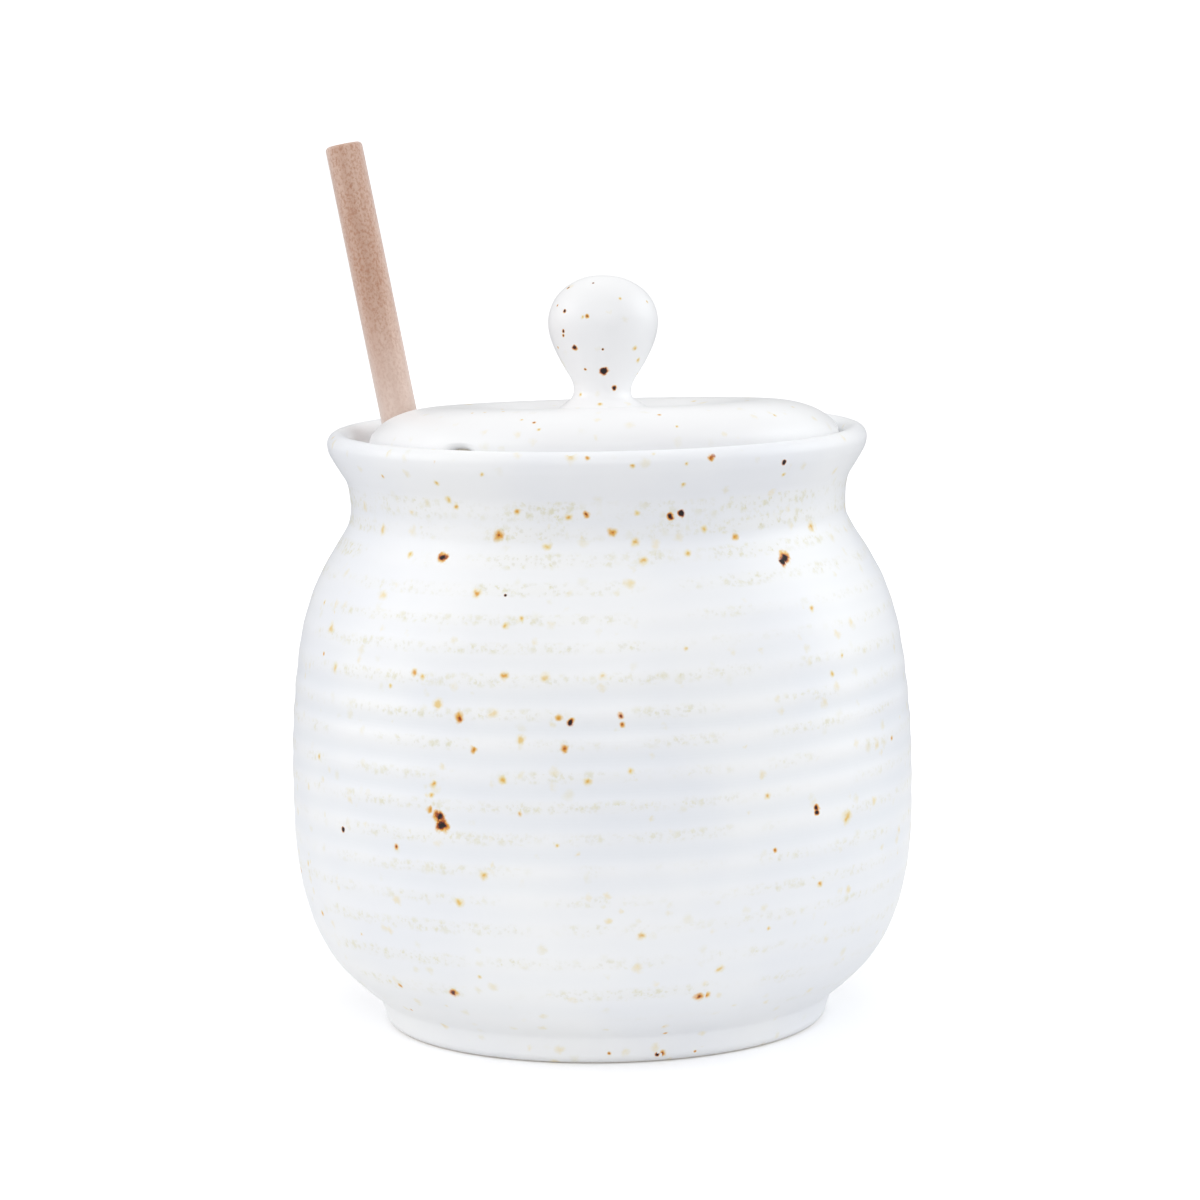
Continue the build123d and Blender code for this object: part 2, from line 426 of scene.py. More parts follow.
pot = {
    "steps": 288,
    "underside": [(0, 2.5), (12, 2.5), (24.4, 2.5), (25.8, 2.1), (27.2, 0.6), (27.8, 0.12), (28.6, 0)],
    "standing": (30.5, 0), "footCorner": (32.4, 1.8), "footRound": (1.8, 1.8),
    "footSide": [(34.2, 1.8), (34.62, 3.0), (34.85, 3.9)],
    "outside": [(35.1, 4.35), (38.35, 7), (42.1, 11), (45.15, 17), (47.1, 25.5), (47.63, 36),
                (47.35, 48), (45.92, 60), (43.9, 67), (41.85, 71.2), (40.35, 73.7), (39.15, 75.6),
                (38.33, 77.1), (37.95, 78.3), (37.84, 79.8), (37.9, 81.2), (38.1, 82.9), (38.45, 84.1),
                (39.25, 85.4), (40.4, 87.3), (41.0, 88.5), (41.2, 89.6)],
    "lipMiddle": (39.5, 89.6), "lipSize": (1.7, 1.8),
    "ledge": [(37.9, 87.7), (37.75, 87.35), (37.4, 87.2), (36, 87.2), (34.5, 87.2), (34.08, 87.02),
              (33.9, 86.6)],
    "inside": [(33.9, 86.6), (33.9, 80.5), (35.3, 75), (38, 69), (42.2, 58.5), (43.6, 47), (43.6, 36),
               (42.4, 25), (39.4, 17.5), (35.4, 12), (29, 8), (20, 8), (0, 8)],
    "spacings": (1.6, 0.5, 1.5),  # underside, outside, inside
    "ledgeTilt": 3.2, "ledgeLean": 0.5, "ledgeInner": 33, "ledgeLow": 80,
    "ledgeRise": (80.5, 86), "ledgeFall": (87.7, 89.5),
    # finger rings: the heights of their crests, and where they rise and fade
    "crests": [7.1, 12.6, 17.6, 23.0, 27.2, 31.6, 36.4, 41.1, 45.4, 50.1, 54.3, 59.3, 63.8, 67.6,
               71.7, 75.7, 79.2, 82.8],
    "ringDepth": 0.05, "bellyRings": 0.06, "innerRings": 0.12, "groovePower": 1.5,
    "ringRise": (5, 9), "ringFall": (80, 85), "bellyRise": (24, 34), "bellyFall": (54, 64),
    "innerRise": (10, 20), "innerFall": (72, 80), "plainRing": 0.3,
    "unevenRings": 0.5, "unevenScale": 0.05, "wobble": 0.03, "wobbleScale": 0.03, "wobbleRise": (2, 12),
    # froth: more on the shoulder, most round the neck, and less on one side
    "frothRise": (6, 9), "frothFall": (83, 85.2), "shoulder": (69, 75), "shoulderFroth": 0.3,
    "neckMiddle": 81.6, "neckHalf": 3.2, "neckFroth": 0.5, "frothSide": -115, "frothSwing": 0.16,
    "bareFade": (0.05, 0.35), "bareInner": 26,
}


def potRadius(height):
    # outside radius of the pot at a height
    knots = pot["footSide"] + pot["outside"]
    return valueAt(height, [knot[1] for knot in knots], [knot[0] for knot in knots])


def makePot():
    underStep, outStep, inStep = pot["spacings"]
    under = smoothLine(pot["underside"], underStep) + [pot["standing"]]
    under += roundTurn(pot["footCorner"], pot["footRound"], -90, 0, 8) + pot["footSide"][1:]
    outside = smoothLine(pot["outside"], outStep)
    lip = roundTurn(pot["lipMiddle"], pot["lipSize"], 0, 180, 14)[1:]
    inside = pot["ledge"] + smoothLine(pot["inside"], inStep)[1:]
    profile = under + outside + lip + inside
    bm = spinProfile(profile, pot["steps"])
    firstOutside, firstInside = len(under), len(under + outside + lip)
    ringNumbers = list(range(len(pot["crests"])))
    ringAt = [valueAt(height, pot["crests"], ringNumbers) for _, height in profile]
    lean, tilt = tan(radians(pot["ledgeLean"])), tan(radians(pot["ledgeTilt"]))

    row = bm.verts.layers.float["row"]
    crest, pooledShade, thin, bare = [
        bm.verts.layers.float.new(name) for name in ("crest", "pooledShade", "thin", "bare")]
    for vert in bm.verts:
        x, y, z = vert.co
        radius, angle = hypot(x, y), atan2(y, x)
        if radius < 0.01:
            continue
        # a quarter turn back, so that the crests are at their own heights at the front
        ring = ringAt[int(vert[row])] - angle / (2 * pi) - 0.25
        groove = abs(sin(pi * ring)) ** pot["groovePower"]
        if vert[row] >= firstInside:
            depth = -pot["innerRings"] * groove * between(pot["innerRise"], pot["innerFall"], z)
            if radius > pot["ledgeInner"] and z > pot["ledgeLow"]:
                vert.co.z += (x * lean - y * tilt) * between(pot["ledgeRise"], pot["ledgeFall"], z)
        else:
            shown = between(pot["ringRise"], pot["ringFall"], z)
            belly = between(pot["bellyRise"], pot["bellyFall"], z)
            uneven = 1 + pot["unevenRings"] * noiseAt(x, y, z, pot["unevenScale"])
            depth = (pot["ringDepth"] + pot["bellyRings"] * belly) * groove * shown * uneven
            wave = 0.5 + 0.5 * cos(2 * pi * ring)
            marked = (pot["plainRing"] + (1 - pot["plainRing"]) * belly) * shown
            vert[crest] = wave * marked
            # in the grooves: glaze pooling, darkened in part as painted shade
            vert[pooledShade] = (1 - wave) * marked
            froth = wave + pot["shoulderFroth"] * softStep(*pot["shoulder"], z)
            froth += pot["neckFroth"] * max(1 - abs(z - pot["neckMiddle"]) / pot["neckHalf"], 0.0)
            froth *= 1 - pot["frothSwing"] + pot["frothSwing"] * cos(angle - radians(pot["frothSide"]))
            vert[thin] = froth * between(pot["frothRise"], pot["frothFall"], z)
            wobble = 0.5 + 0.5 * noiseAt(x, y, z, pot["wobbleScale"])
            depth += pot["wobble"] * wobble * softStep(*pot["wobbleRise"], z)
            if vert[row] < firstOutside and radius > pot["bareInner"]:
                vert[bare] = 1 - softStep(*pot["bareFade"], z)
        vert.co.x *= (radius - depth) / radius
        vert.co.y *= (radius - depth) / radius
    return bm


# Specks on the pot: angle round it, height and size; the front is at -90 degrees

kinds = {"pale": 0.0, "rusty": 1.0, "dark": 2.0}
potSpecks = {
    "dark": [
        (-119.4, 37.8, 1.15), (-119.9, 38.8, 1.05), (-47, 74.4, 1.1), (-47.8, 73.9, 0.8),
        (-125.5, 75.6, 0.85), (-49, 38.4, 0.6), (-49, 37.7, 0.5), (-71.5, 81.8, 0.58), (-74, 81.5, 0.58),
        (-66.5, 90, 0.58), (-48.5, 88.5, 0.45), (-108.8, 70.9, 0.22), (-77.5, 1.3, 0.42),
        (-95.5, 53.4, 0.62), (-144, 34.8, 0.45), (15, 52, 1.0), (70, 66, 0.8), (121, 34, 1.2),
        (160, 58, 0.7), (95, 22, 0.8), (40, 30, 0.7)],
    "rusty": [
        (-121.8, 39.9, 0.6), (-71.4, 11.5, 0.85), (-69.8, 11.7, 0.6), (-76, 1.5, 0.55),
        (-121.5, 11.9, 0.8), (-87, 79.6, 0.75), (-76, 4.8, 0.34), (-116, 53.6, 0.85), (-67.5, 1.2, 0.26),
        (-136, 11.5, 0.5), (-112.5, 78.9, 0.85), (-96.5, 49.5, 0.65), (-154, 60, 0.36),
        (-129.5, 33.8, 0.5), (-140.5, 6.5, 0.3), (-92, 90.6, 0.4), (-113, 49, 0.55), (-157.5, 20.2, 0.5),
        (-92.5, 82.2, 0.55), (-89.5, 1.8, 0.3), (-125, 89.8, 0.36), (-58.5, 78, 0.6), (-58.5, 33, 0.38),
        (-86.7, 54.2, 0.5), (-86.3, 52.9, 0.45), (-97.5, 54, 0.55), (-24, 45.8, 0.45), (10, 70, 0.7),
        (35, 48, 0.8), (60, 80, 0.6), (85, 45, 0.9), (110, 62, 0.7), (140, 20, 0.8), (175, 40, 0.7),
        (-170, 25, 0.6), (-5, 26, 0.7), (50, 14, 0.9), (130, 84, 0.6)],
    "pale": [
        (-41, 36, 1.1), (-92.5, 44.8, 0.65), (-78.5, 91.2, 0.42), (-34, 78, 0.85), (-111.5, 30.8, 0.75),
        (-160, 67, 0.45), (-116.5, 26.5, 0.7), (-126, 59.5, 0.6), (-114, 88.2, 0.4), (-108, 66.8, 0.65),
        (-43, 57.5, 0.5), (-115, 71, 0.8), (-161, 27.5, 0.5), (-126, 86.5, 0.5), (-121, 43.6, 0.7),
        (-121.4, 42, 0.5), (-81.5, 82.2, 0.42), (-124.6, 84, 0.6), (-122.8, 83, 0.55), (-59, 21.5, 0.42),
        (-39.5, 59.8, 0.42), (-98, 35.5, 0.36), (-107.5, 59.8, 0.7), (-131.5, 57.2, 0.4),
        (-85, 46.2, 0.55), (-45, 67, 0.55), (-107.5, 44.8, 0.75), (-60, 41.2, 0.6), (-48, 26.8, 0.55),
        (-104.5, 40, 0.45), (-70.5, 76.2, 0.6), (-152.5, 44.8, 0.5), (-82, 78, 0.7), (-83.5, 22, 0.7),
        (-142, 86.8, 0.4), (-105, 67.8, 0.5), (-124, 59, 0.5), (-80.5, 75.5, 0.75), (-114.5, 15, 0.4),
        (-96.5, 81.8, 0.6), (-107.9, 82.6, 0.5), (-101.3, 77.6, 0.6), (-66, 79.4, 0.6),
        (-135, 75.6, 0.55), (-72, 86.2, 0.5), (-83, 89.4, 0.38), (-71.8, 89.4, 0.34),
        (-47.2, 86.6, 0.38), (20, 62, 0.7), (65, 30, 0.8), (100, 74, 0.9), (150, 48, 0.8), (30, 76, 0.6),
        (125, 54, 0.7), (-178, 72, 0.6)],
    "lipFrom": 89.6, "lipRadius": 40.75,
}


def potSpots():
    spots = []
    for name, kind in kinds.items():
        for angle, height, size in potSpecks[name]:
            radius = potRadius(height) if height < potSpecks["lipFrom"] else potSpecks["lipRadius"]
            spots.append((*ringPoint(radius, angle, height), size, kind))
    return spots


potGlaze = makeGlaze("potGlaze", "potShade", shift=0.0, mottle=0.84, freckled=0.9)
finishPiece(makePot(), "potBody", potGlaze, "pot", "pot", specks=potSpots())


# The lid: a domed disc with a sunken middle, a knob, a notch for the dipper and a small vent

lid = {
    "steps": 480, "middle": (1.1, 0, 87.5), "tilt": 3.2, "lean": 0.5,
    "radius": 35.8, "edgeRound": 0.9, "bandTop": 2.2, "bandRows": (0.3, 0.65, 1.0), "hollow": 28.0,
    "underside": [(0, 2.6), (9, 2.6), (18, 2.6), (24.6, 2.6), (25.6, 2.4), (26.9, 1.1), (27.6, 0.4),
                  (28.0, 0.08)],
    "seat": (28.6, 30.5, 32.6, 33.0, 33.4, 33.8, 34.2, 34.6),
    "crest": (24.8, 7.5), "dish": (13.0, 6.1), "crown": (2.1, 0.55), "topRows": 44, "topCrowding": 1.6,
    "notchAngle": 164.7, "notchMiddle": 31.71, "notchRound": 3.8, "notchSides": (6.5, 8.3),
    "notchBlend": 0.4, "notchEdge": 0.8, "notchEdgeRise": 1.5, "notchCrowding": 0.7, "leastSeat": 2.5,
    "ventAngle": -126.5, "ventSize": (3.3, 2.15), "ventReach": 1.8, "ventOpen": 1.2, "ventSoften": 0.2,
    "knob": [(9.3, 6.1), (8.0, 6.3), (6.6, 6.95), (5.35, 7.75), (4.7, 8.3), (4.42, 9.0), (4.4, 9.8),
             (4.8, 11), (5.7, 12.5), (6.6, 14.05), (7.35, 15.6), (7.95, 17.1), (8.33, 18.7),
             (8.4, 19.9), (8.25, 21.2), (7.7, 22.8), (6.72, 24.25), (5.3, 25.45), (3.3, 26.45),
             (1.5, 26.86), (0, 26.94)],
    "knobFoot": (11.2, 6.1), "knobSpacing": 0.5, "knobLean": 2.1, "knobShift": -0.4,
    "leanRise": (6.0, 9.0), "wobble": 0.015, "wobbleScale": 0.09, "wobbleRise": (7.0, 10.0),
}


def lidTop(radius):
    # height of the lid's upper face, from the dish out to the edge
    dish, low = lid["dish"]
    crest, high = lid["crest"]
    if radius <= crest:
        return low + (high - low) * softStep(dish, crest, radius)
    out = min((radius - crest) / (lid["radius"] - crest), 1.0)
    return lid["bandTop"] + (high - lid["bandTop"]) * (1 - out ** lid["crown"][0]) ** lid["crown"][1]


def lidEdge(away):
    # how far out the disc reaches, at an angle away from the notch
    middle, size, (first, last) = lid["notchMiddle"], lid["notchRound"], lid["notchSides"]
    turned = radians(min(abs(away), first))
    root = middle * cos(turned) - sqrt(size ** 2 - (middle * sin(turned)) ** 2)
    return root + (lid["radius"] - root) * softStep(first - lid["notchBlend"], last, abs(away))


def makeLid():
    edge, low, hollow, dish = lid["radius"], lid["edgeRound"], lid["hollow"], lid["dish"][0]
    ventHalf, ventHigh = lid["ventSize"]
    under = lid["underside"]
    seat = [(radius, 0) for radius in lid["seat"] + (edge - low,)]
    band = roundTurn((edge - low, low), (low, low), -90, 0, 5)[1:]
    band += [(edge, low + (lid["bandTop"] - low) * share) for share in lid["bandRows"]]
    top = []
    for step in range(1, lid["topRows"] + 1):
        radius = edge - (edge - dish) * (step / lid["topRows"]) ** lid["topCrowding"]
        top.append((radius, lidTop(radius)))
    knob = [lid["knobFoot"]] + smoothLine(lid["knob"], lid["knobSpacing"])
    bm = spinProfile(under + seat + band + top + knob, lid["steps"])
    firstSeat, firstBand = len(under), len(under + seat)
    firstTop, firstKnob = firstBand + len(band), firstBand + len(band + top)

    row = bm.verts.layers.float["row"]
    bare = bm.verts.layers.float.new("bare")
    notch, vent, lean = [radians(lid[name]) for name in ("notchAngle", "ventAngle", "knobLean")]
    for vert in bm.verts:
        x, y, w = vert.co
        radius, place = hypot(x, y), vert[row]
        # the columns crowd towards the notch
        away = (atan2(y, x) - notch + pi) % (2 * pi) - pi
        away -= lid["notchCrowding"] * sin(away)
        angle = away + notch
        reach = lidEdge(away * 180 / pi)
        inner = min(hollow, reach - lid["leastSeat"])
        corner = lid["notchEdge"] * min(max((edge - reach) / lid["notchEdgeRise"], 0.0), 1.0)
        # the vent is a low arch that closes inwards
        across = abs(edge * sin(angle - vent)) if cos(angle - vent) > 0 else edge
        arch = ventHigh * sqrt(max(1 - (across / ventHalf) ** 2, 0.0))
        roof = arch + lid["ventSoften"]
        reach -= lid["ventSoften"] * (arch / ventHigh) ** 2
        if place < firstSeat:
            radius *= inner / hollow
        elif place < firstBand:
            radius = inner + (radius - hollow) * (reach - low - inner) / (edge - low - hollow)
            vert[bare] = 1.0
            w += arch * softStep(edge - lid["ventReach"], edge - lid["ventOpen"], hypot(x, y))
        elif place < firstTop:
            radius -= edge - reach
            w = max(w, 0.0)
            share = max(w - low, 0.0) / (lid["bandTop"] - low)
            highest = max(lidTop(reach) - corner, roof)
            lowest = min(min(w, low) + arch, highest - 0.1)
            w = lowest + share * (highest - lowest)
        elif place < firstKnob:
            radius = dish + (radius - dish) * (reach - dish) / (edge - dish)
            w = max(lidTop(radius), roof)
            inset = reach - radius
            if inset < corner:
                w -= corner - sqrt(corner ** 2 - (corner - inset) ** 2)
        x, y = radius * cos(angle), radius * sin(angle)
        rooted = softStep(*lid["leanRise"], w) if place >= firstKnob else 0.0
        turned = lean * rooted
        wobble = lid["wobble"] * noiseAt(x, y, w, lid["wobbleScale"]) * softStep(*lid["wobbleRise"], w)
        x = x * (1 - wobble) + lid["knobShift"] * rooted
        vert.co = (x * cos(turned) + w * sin(turned), y, w * cos(turned) - x * sin(turned))
    return bm


lidPlace = (Matrix.Translation(lid["middle"]) @ Matrix.Rotation(-radians(lid["tilt"]), 4, "X")
            @ Matrix.Rotation(-radians(lid["lean"]), 4, "Y"))


# Specks on the knob by angle, height and size; on the lid's face by angle, distance out and size

knobSpecks = {
    "dark": [
        (-88, 12.5, 0.75), (-136, 21.5, 0.33), (-107, 20.7, 0.36), (-125, 15.9, 0.5), (-137, 18.4, 0.32),
        (-138, 17.8, 0.28), (-66, 9.9, 0.38), (-155, 24.9, 0.3), (-117, 12.7, 0.24), (-90, 15.8, 0.22),
        (-109, 25.7, 0.2), (60, 17, 0.5), (140, 21, 0.4), (100, 12, 0.45), (20, 20, 0.3)],
    "rusty": [
        (-152, 22.3, 0.25), (-156, 15.9, 0.25), (30, 24, 0.35), (120, 15, 0.4), (170, 19, 0.4)],
    "pale": [
        (-138, 8.9, 0.4), (-36, 14.1, 0.5), (-94, 7.5, 0.5), (-50, 16, 0.45), (-112, 20.6, 0.34),
        (-30, 23, 0.3), (-70, 23.4, 0.3), (75, 22, 0.5), (-10, 12, 0.4), (150, 13, 0.4)],
}
lidSpecks = {
    "dark": [(60, 28, 0.6), (104, 31, 0.5)],
    "rusty": [(-108, 32.7, 0.34), (-75, 31.3, 0.34), (20, 30, 0.6), (130, 26, 0.7), (80, 33, 0.5)],
    "pale": [
        (-132, 28.9, 0.3), (-106, 34.2, 0.34), (-72, 34.3, 0.3), (-112, 31.9, 0.3), (-128, 28.4, 0.3),
        (-122, 27.8, 0.3), (-40, 33, 0.4), (-24, 31, 0.35), (0, 22, 0.5), (150, 18, 0.4), (45, 20, 0.5),
        (95, 30, 0.5)],
}


def lidSpots():
    knobPlace = (lidPlace @ Matrix.Translation((lid["knobShift"], 0, 0))
                 @ Matrix.Rotation(radians(lid["knobLean"]), 4, "Y"))
    radii, heights = zip(*lid["knob"])
    spots = []
    for onKnob, table in ((True, knobSpecks), (False, lidSpecks)):
        for name, specks in table.items():
            for angle, along, size in specks:
                radius = valueAt(along, heights, radii) if onKnob else along
                height = along if onKnob else lidTop(along)
                spot = (knobPlace if onKnob else lidPlace) @ Vector(ringPoint(radius, angle, height))
                spots.append((*spot, size, kinds[name]))
    return spots


lidGlaze = makeGlaze("lidGlaze", "lidShade", shift=3.1, mottle=0.0, freckled=0.6)
finishPiece(makeLid(), "lidAndKnob", lidGlaze, "lid", "lid", lidPlace, lidSpots())


# The dipper: a plain dowel in a turned, grooved head, leaning out through the notch

dipper = {
    "tip": (-15.059, 4.261, 9.327), "joint": "dipper_draw",
    "length": 127.65, "handleSteps": 64, "handleRadius": 2.9, "endRound": 0.75, "endCentre": 1.2,
    "handleStart": 16.0, "startBevel": 0.3, "rowHeight": 1.5,
    "uneven": 0.008, "unevenScale": (0.6, 0.6, 0.05),
    "headSteps": 96, "headRadius": 10.0, "headEnd": 7.6, "headRound": 2.4, "headLength": 30.0,
    "socket": 2.95, "grooves": 6, "groovePitch": 4.2, "grooveWidth": 2.2, "core": 5.4,
    "sharpAngle": 50, "bevelFrom": 3.5, "bevel": 0.28,
}


def dipperPlace():
    along = next(Vector(joint["axis"]) for joint in frame["joints"] if joint["name"] == dipper["joint"])
    along.normalize()
    side = Vector((0, 0, 1)).cross(Vector((along.x, along.y, 0)).normalized())
    turned = Matrix((side.cross(along), along.cross(side.cross(along)), along)).transposed()
    return Matrix.Translation(dipper["tip"]) @ turned.to_4x4()


def makeHandle():
    radius, start, end = dipper["handleRadius"], dipper["handleStart"], dipper["length"]
    corner, bevel = dipper["endRound"], dipper["startBevel"]
    rows = round((end - start) / dipper["rowHeight"])
    side = [(radius, start + bevel + (end - corner - start - bevel) * step / rows)
            for step in range(rows + 1)]
    tip = roundTurn((radius - corner, end - corner), (corner, corner), 0, 90, 4)[1:]
    profile = [(0, start), (radius - bevel, start)] + side + tip + [(dipper["endCentre"], end), (0, end)]
    bm = spinProfile(profile, dipper["handleSteps"])
    across, _, along = dipper["unevenScale"]
    for vert in bm.verts:
        x, y, z = vert.co
        wave = 0.5 + 0.5 * noiseAt(x * across, y * across, z * along, 1.0)
        squeeze = 1 - dipper["uneven"] * wave
        vert.co = (x * squeeze, y * squeeze, z)
    return bm


def makeHead():
    length, end, core, rim = dipper["headLength"], dipper["headEnd"], dipper["core"], dipper["headRound"]
    socket, depth = dipper["socket"], dipper["handleStart"]
    bulge = dipper["headRadius"] - end

    def outer(height):
        return end + bulge * (1 - ((height - length / 2) / (length / 2 - rim)) ** 2)

    profile = [(0, 0)] + roundTurn((end - rim, rim), (rim, rim), -90, 0, 8)
    for number in range(dipper["grooves"]):
        middle = length / 2 + (number - (dipper["grooves"] - 1) / 2) * dipper["groovePitch"]
        low, high = middle - dipper["grooveWidth"] / 2, middle + dipper["grooveWidth"] / 2
        profile += [(outer(low), low), (core, low), (core, high), (outer(high), high)]
    profile += roundTurn((end - rim, length - rim), (rim, rim), 0, 90, 8)
    profile += [(socket, length), (socket, depth), (0, depth)]
    bm = spinProfile(profile, dipper["headSteps"])
    sharp = [edge for edge in bm.edges
             if len(edge.link_faces) == 2 and edge.calc_face_angle(0.0) > radians(dipper["sharpAngle"])
             and hypot(*edge.verts[0].co.xy) > dipper["bevelFrom"]]
    bmesh.ops.bevel(bm, geom=sharp, offset=dipper["bevel"], segments=3, profile=0.5, affect="EDGES",
                    material=-1)
    return bm


wood = {
    "tones": {
        "pale": (214, 181, 162), "pink": (196, 156, 134), "grain": (170, 108, 68),
        # the tone near the lid is painted light bounced from the white glaze
        "endGrain": (190, 149, 124), "lidBounceLight": (243, 227, 217),
    },
    # noises by stretch along the dowel, scale and detail
    "figure": (0.12, 420.0, 2.0), "clouds": (0.5, 260.0, 2.0), "fibres": (0.7, 2700.0, 3.0),
    "fibreRoughness": 0.65,
    "pores": {"Cells": 2100.0, "Size": 0.55, "Share": 0.5, "Ragged": 0.5, "Shift": (0, 0.3, 0)},
    "poreStretch": 0.75,
    "figureFade": (0.3, 0.7), "fibreFade": (0.4, 0.68, 0.0, 0.62), "cloudFade": (0.35, 0.62, 0.15, 0.6),
    "lidBounceFade": (80, 108, 0.62, 0.0), "endDepths": (0.35, 0.15), "endCover": 0.5,
    "roughness": 0.62, "roughFibres": 0.2, "sheen": 1.0, "sheenRoughness": 0.5,
    "bump": 0.04, "poreDip": 0.6,
}


def makeWood(name, shift, deeper):
    material, tree, shader = newMaterial(name)
    tones = {key: colour(*value) for key, value in wood["tones"].items()}
    turned = addNode(tree, "ShaderNodeMapping", vector_type="TEXTURE", inputs={
        "Vector": objectPlace(tree), "Location": [part * mm for part in dipper["tip"]],
        "Rotation": dipperPlace().to_euler("XYZ")}).outputs["Vector"]

    def stretched(along):
        return addNode(tree, "ShaderNodeMapping", inputs={
            "Vector": turned, "Location": (shift, 0, 0), "Scale": (1.0, 1.0, along)}).outputs["Vector"]

    def noiseLayer(layer, **others):
        along, scale, detail = wood[layer]
        return noiseOf(tree, stretched(along), scale, detail, **others)["Fac"]

    # broad figure, then open pores and short fibres
    figure, clouds = noiseLayer("figure"), noiseLayer("clouds")
    fibres = noiseLayer("fibres", Roughness=wood["fibreRoughness"])
    pores = useGroup(tree, strewnSpecks, {"Place": stretched(wood["poreStretch"]), **wood["pores"]})["Mask"]
    tone = blendColour(tree, fade(tree, figure, *wood["figureFade"]), tones["pale"], tones["pink"])
    tone = blendColour(tree, fade(tree, fibres, *wood["fibreFade"]), tone, tones["grain"])
    porous = times(tree, pores, fade(tree, clouds, *wood["cloudFade"]))
    tone = blendColour(tree, porous, tone, tones["grain"])

    # painted bounce light: paler where it meets the white lid; darker on the cut end
    along = addNode(tree, "ShaderNodeSeparateXYZ", inputs={"Vector": turned}).outputs["Z"]
    # painted light bounced from the lid, fading out up the dowel
    low, high, most, least = wood["lidBounceFade"]
    tone = blendColour(tree, fade(tree, along, low * mm, high * mm, most, least), tone, tones["lidBounceLight"])
    cut = fade(tree, along, *[(dipper["length"] - depth) * mm for depth in wood["endDepths"]])
    tone = blendColour(tree, times(tree, cut, wood["endCover"]), tone, tones["endGrain"])
    tone = blendColour(tree, deeper, tone, tones["endGrain"])
    feed(tree, shader.inputs["Base Color"], tone)
    rough = stretch(tree, fibres, wood["roughFibres"], wood["roughness"] - wood["roughFibres"] / 2)
    feed(tree, shader.inputs["Roughness"], rough)
    shader.inputs["Sheen Weight"].default_value = wood["sheen"]
    shader.inputs["Sheen Roughness"].default_value = wood["sheenRoughness"]
    height = sums(tree, "SUBTRACT", fibres, times(tree, pores, wood["poreDip"]))
    bump = addNode(tree, "ShaderNodeBump", inputs={"Height": height, "Distance": wood["bump"] * mm})
    feed(tree, shader.inputs["Normal"], bump.outputs["Normal"])
    return material


finishPiece(makeHandle(), "dipperHandle", makeWood("handleWood", shift=0.0, deeper=0.0),
            "dipper", "dipper_handle", dipperPlace())
headPiece = finishPiece(makeHead(), "dipperHead", makeWood("headWood", shift=0.7, deeper=0.25),
                        "dipper", "dipper_head", dipperPlace())
headPiece.data.set_sharp_from_angle(angle=radians(dipper["sharpAngle"]))


# Studio, in metres: a round white sweep, soft boxes and the camera

studio = {
    "floor": [(0, 0), (0.4, 0), (1.7, 0), (2.1, 0.04), (2.4, 0.18), (2.6, 0.5), (2.65, 0.9)],
    "floorSpacing": 0.1, "floorSteps": 96, "floorMerge": 0.00001, "roughness": 0.95,
    "floorSeen": (253, 253, 254), "bounceNear": (240, 240, 240), "bounceFar": (168, 168, 172),
    "bounceFade": (0.12, 0.4),
    "flag": (26, 38, 50), "flagSides": (0.36, 0.6), "flagDistance": (0.12, 0.35), "flagFrom": 0.001,
    "nearGlow": (0.04, 0.085, 0.045, 0.0), "seenGlow": (0.08, 0.6, 0.115, 0.4),
    "farGlow": (-1.5, 0.4, 0.04, 0.36), "farGlowFade": (0.3, 2.2), "world": 0.86,
    "camera": (0.000065, -0.64907, 0.15051), "pitch": 82.47, "roll": -0.0165, "lens": 128.0,
    "sensor": 36, "clip": (0.01, 20),
    "aim": (0, 0, 0.05),
    # place, size, power and tint
    "lights": {
        "topBox": ((0, 0.1, 1.5), 1.2, 0.3, (1.0, 1.0, 1.0)),
        "leftBox": ((-1.28, -0.02, 0.62), 1.0, 5.0, (1.0, 0.99, 0.97)),
        "rightBox": ((1.28, 0.24, 0.62), 1.0, 5.1, (0.95, 0.985, 1.0)),
        "frontBox": ((0.05, -1.25, 0.62), 0.8, 3.5, (1.0, 1.0, 1.0)),
    },
}


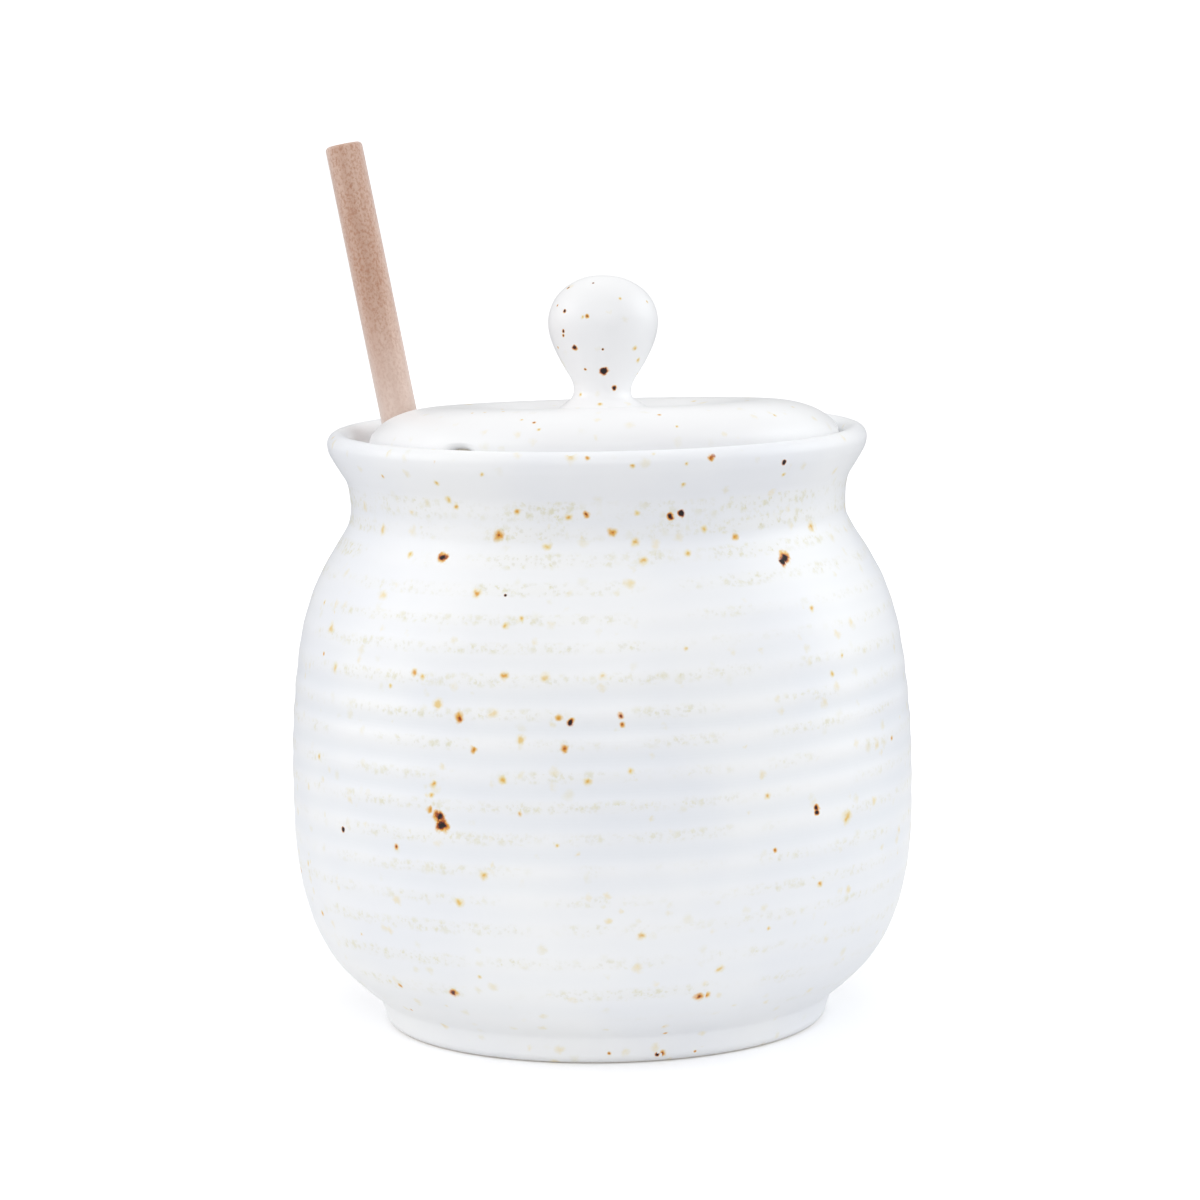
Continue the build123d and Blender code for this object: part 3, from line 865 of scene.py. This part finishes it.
def makePaper():
    paper, tree, shader = newMaterial("studioPaper")
    place = objectPlace(tree)
    distance = vectorSums(tree, "LENGTH", place)
    parts = addNode(tree, "ShaderNodeSeparateXYZ", inputs={"Vector": place}).outputs
    bounce = blendColour(tree, fade(tree, distance, *studio["bounceFade"]),
                         colour(*studio["bounceNear"]), colour(*studio["bounceFar"]))
    # a black flag behind the piece, which only its own reflections meet, draws its edges
    backwards = sums(tree, "MAXIMUM", parts["Y"], studio["flagFrom"])
    aside = sums(tree, "DIVIDE", sums(tree, "ABSOLUTE", parts["X"]), backwards)
    behind = times(tree, fade(tree, aside, *studio["flagSides"], 1.0, 0.0),
                   fade(tree, distance, *studio["flagDistance"]))
    bounce = blendColour(tree, behind, bounce, colour(*studio["flag"]))
    seen = addNode(tree, "ShaderNodeLightPath").outputs["Is Camera Ray"]
    feed(tree, shader.inputs["Base Color"], blendColour(tree, seen, bounce, colour(*studio["floorSeen"])))
    around = times(tree, fade(tree, distance, *studio["farGlowFade"]),
                   fade(tree, parts["Y"], *studio["farGlow"]))
    around = times(tree, around, sums(tree, "SUBTRACT", 1.0, behind))
    glow = addNode(tree, "ShaderNodeMix", data_type="FLOAT")
    feed(tree, glow.inputs[0], seen)
    feed(tree, glow.inputs[2], sums(tree, "ADD", fade(tree, distance, *studio["nearGlow"]), around))
    feed(tree, glow.inputs[3], fade(tree, distance, *studio["seenGlow"]))
    feed(tree, shader.inputs["Emission Strength"], glow.outputs[0])
    shader.inputs["Emission Color"].default_value = (1, 1, 1, 1)
    shader.inputs["Roughness"].default_value = studio["roughness"]
    shader.inputs["Specular IOR Level"].default_value = 0.0
    return paper


def makeFloor():
    line = smoothLine(studio["floor"], studio["floorSpacing"])
    bm = spinProfile(line, studio["floorSteps"], studio["floorMerge"])
    bmesh.ops.recalc_face_normals(bm, faces=bm.faces)
    if sum(face.normal.z for face in bm.faces) < 0:
        bmesh.ops.reverse_faces(bm, faces=bm.faces)
    floorPiece = makeObject(bm, "studioFloor", makePaper())


def makeLights():
    for name, (spot, size, power, tint) in studio["lights"].items():
        light = bpy.data.lights.new(name, "AREA")
        light.size = size
        light.energy = power
        light.color = tint
        holder = bpy.data.objects.new(name, light)
        holder.location = spot
        holder.rotation_euler = (Vector(studio["aim"]) - Vector(spot)).to_track_quat("-Z", "Y").to_euler()
        holder.visible_camera = False
        bpy.context.scene.collection.objects.link(holder)
    world = bpy.data.worlds.new("studioAir")
    world.use_nodes = True
    world.node_tree.nodes["Background"].inputs["Color"].default_value = (1, 1, 1, 1)
    world.node_tree.nodes["Background"].inputs["Strength"].default_value = studio["world"]
    bpy.context.scene.world = world


def makeCamera():
    lens = bpy.data.cameras.new("studioCamera")
    lens.lens = studio["lens"]
    lens.sensor_width = studio["sensor"]
    lens.clip_start, lens.clip_end = studio["clip"]
    camera = bpy.data.objects.new("studioCamera", lens)
    bpy.context.scene.collection.objects.link(camera)
    camera.matrix_world = (Matrix.Translation(studio["camera"])
                           @ Matrix.Rotation(radians(studio["pitch"]), 4, "X")
                           @ Matrix.Rotation(studio["roll"], 4, "Z"))
    bpy.context.scene.camera = camera
    bpy.context.scene.view_settings.view_transform = "Standard"


makeFloor()
makeLights()
makeCamera()
print("studio ready")
